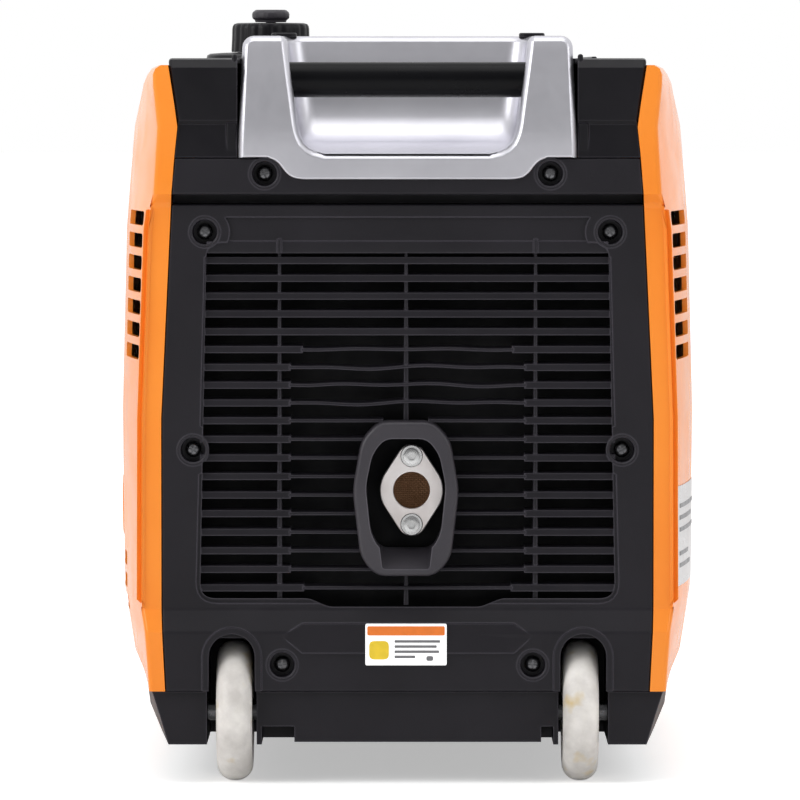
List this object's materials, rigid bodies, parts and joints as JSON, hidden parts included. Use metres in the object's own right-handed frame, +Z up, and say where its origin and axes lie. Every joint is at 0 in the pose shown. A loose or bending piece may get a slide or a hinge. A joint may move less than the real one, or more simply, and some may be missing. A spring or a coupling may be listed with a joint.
{
  "type": "portable generator",
  "caption": "Enclosed portable inverter generator: orange side panels, black louvred exhaust end, silver carry handles, wheels, fuel cap and control panel.",
  "frame": {"origin": "on the ground, under the middle of the machine's box", "axes": "+Z up; -Y towards the exhaust end; +X to the right seen from the exhaust end"},
  "size_m": [0.351, 0.598, 0.4526],
  "materials": {
    "orange_shell": "glossy orange moulding",
    "black_moulding": "fine-textured black moulding",
    "black_satin": "satin black moulding",
    "gloss_black": "gloss black coating",
    "silver_frame": "satin silver with a fine grain",
    "blackened_steel": "blackened screws",
    "bright_steel": "plain bright steel",
    "cast_flange": "ground pale steel",
    "burnt_mesh": "heat-browned woven steel",
    "wheel_tread": "grey polyurethane",
    "rubber": "black rubber",
    "label_white": "printed film",
    "label_grey": "metallised film",
    "engine_casting": "die-cast aluminium",
    "heat_steel": "pressed steel, heat-toned",
    "crank_steel": "machined steel",
    "winding": "copper windings on laminated steel",
    "tank_black": "painted pressed steel",
    "rope": "braided cord",
    "lens": "smoked window",
    "red_key": "red moulding"
  },
  "bodies": {
    "machine": {"ac_sockets": "gloss_black", "air_cleaner_box": "black_satin", "alternator_stator": "winding", "base_tray": "black_moulding", "battery": "black_satin", "carburettor": "engine_casting", "control_panel": "black_satin", "cover_screws": "blackened_steel", "crankcase": "engine_casting", "cylinder_head": "engine_casting", "display_lens": "lens", "engine_mounts": "rubber", "exhaust_bezel": "black_satin", "fan_shroud": "tank_black", "flange_screws": "bright_steel", "front_cover": "black_moulding", "front_feet": "rubber", "front_grip_tube": "gloss_black", "front_handle_frame": "silver_frame", "fuel_filler_neck": "tank_black", "fuel_tank": "tank_black", "handle_plugs": "black_satin", "inverter_module": "engine_casting", "left_side_panel": "orange_shell", "muffler_body": "heat_steel", "muffler_heat_shield": "heat_steel", "muffler_outlet_flange": "cast_flange", "rear_cover": "black_moulding", "rear_grip_tube": "gloss_black", "rear_handle_frame": "silver_frame", "rear_label": "label_white", "recoil_housing": "tank_black", "recoil_rope": "rope", "right_side_panel": "orange_shell", "spark_arrestor_mesh": "burnt_mesh", "spark_plug": "bright_steel", "top_cover": "black_satin", "wheel_bolts": "bright_steel"},
    "left_wheel": {"left_wheel_tyre": "wheel_tread", "left_wheel_hub": "black_satin", "left_wheel_bearings": "bright_steel"},
    "right_wheel": {"right_wheel_tyre": "wheel_tread", "right_wheel_hub": "black_satin", "right_wheel_bearings": "bright_steel"},
    "cap_lift": {"fuel_cap_gasket": "rubber"},
    "cap_turn": {"fuel_cap": "black_satin"},
    "cap_vent": {"fuel_cap_vent_knob": "black_satin"},
    "recoil_grip": {"recoil_handle": "black_satin"},
    "recoil_sheave": {"recoil_pulley": "black_satin"},
    "engine_shaft": {"crankshaft": "crank_steel", "alternator_rotor": "crank_steel", "cooling_fan": "black_satin"},
    "door": {"service_door": "orange_shell"},
    "door_latch": {"service_door_latch": "black_satin"},
    "left_socket_flap": {"left_socket_cover": "black_satin"},
    "right_socket_flap": {"right_socket_cover": "black_satin"},
    "dial": {"engine_dial": "black_satin"},
    "rocker": {"eco_rocker": "gloss_black"},
    "start": {"start_button": "red_key"},
    "breaker": {"ac_breaker_button": "red_key"}
  },
  "joints": [
    {"name": "left_wheel_spin", "type": "hinge", "parent": "machine", "child": "left_wheel", "pos_m": [-0.101, -0.258, 0.041], "axis": [1, 0, 0], "continuous": true},
    {"name": "right_wheel_spin", "type": "hinge", "parent": "machine", "child": "right_wheel", "pos_m": [0.101, -0.258, 0.041], "axis": [1, 0, 0], "continuous": true},
    {"name": "fuel_cap_lift", "type": "slide", "parent": "machine", "child": "cap_lift", "axis": [0, 0, 1], "range_m": [0, 0.06]},
    {"name": "fuel_cap_turn", "type": "hinge", "parent": "cap_lift", "child": "cap_turn", "pos_m": [-0.083, -0.1, 0.44], "axis": [0, 0, 1], "range_deg": [0, 90]},
    {"name": "vent_knob_turn", "type": "hinge", "parent": "cap_turn", "child": "cap_vent", "pos_m": [-0.083, -0.1, 0.44], "axis": [0, 0, 1], "range_deg": [0, 60]},
    {"name": "recoil_pull", "type": "slide", "parent": "machine", "child": "recoil_grip", "axis": [-1, 0, 0], "range_m": [0, 0.5], "deforming": ["recoil_rope"]},
    {"name": "recoil_sheave_turn", "type": "hinge", "parent": "machine", "child": "recoil_sheave", "pos_m": [-0.126, -0.01, 0.15], "axis": [1, 0, 0], "range_deg": [0, 960]},
    {"name": "engine_shaft_spin", "type": "hinge", "parent": "machine", "child": "engine_shaft", "pos_m": [0, -0.01, 0.15], "axis": [1, 0, 0], "continuous": true},
    {"name": "service_door_swing", "type": "hinge", "parent": "machine", "child": "door", "pos_m": [0.1672, 0.055, 0.1147], "axis": [0, 1, 0], "range_deg": [0, 60]},
    {"name": "door_latch_turn", "type": "hinge", "parent": "door", "child": "door_latch", "pos_m": [0.17, 0.055, 0.282], "axis": [1, 0, 0], "range_deg": [0, 90]},
    {"name": "left_socket_flap_lift", "type": "hinge", "parent": "machine", "child": "left_socket_flap", "pos_m": [0.004, 0.2835, 0.222], "axis": [1, 0, 0], "range_deg": [0, 110]},
    {"name": "right_socket_flap_lift", "type": "hinge", "parent": "machine", "child": "right_socket_flap", "pos_m": [0.062, 0.2835, 0.222], "axis": [1, 0, 0], "range_deg": [0, 110]},
    {"name": "engine_dial_turn", "type": "hinge", "parent": "machine", "child": "dial", "pos_m": [-0.072, 0.28, 0.276], "axis": [0, 1, 0], "range_deg": [0, 120]},
    {"name": "eco_rocker_tip", "type": "hinge", "parent": "machine", "child": "rocker", "pos_m": [-0.022, 0.2785, 0.276], "axis": [1, 0, 0], "range_deg": [-8, 8]},
    {"name": "start_press", "type": "slide", "parent": "machine", "child": "start", "axis": [0, -1, 0], "range_m": [0, 0.003], "stiffness_N_per_m": 400},
    {"name": "breaker_press", "type": "slide", "parent": "machine", "child": "breaker", "axis": [0, -1, 0], "range_m": [0, 0.002], "stiffness_N_per_m": 300}
  ],
  "couplings": [
    {"joint": "recoil_sheave_turn", "follows": "recoil_pull", "rad_per_m": 33.333}
  ]
}
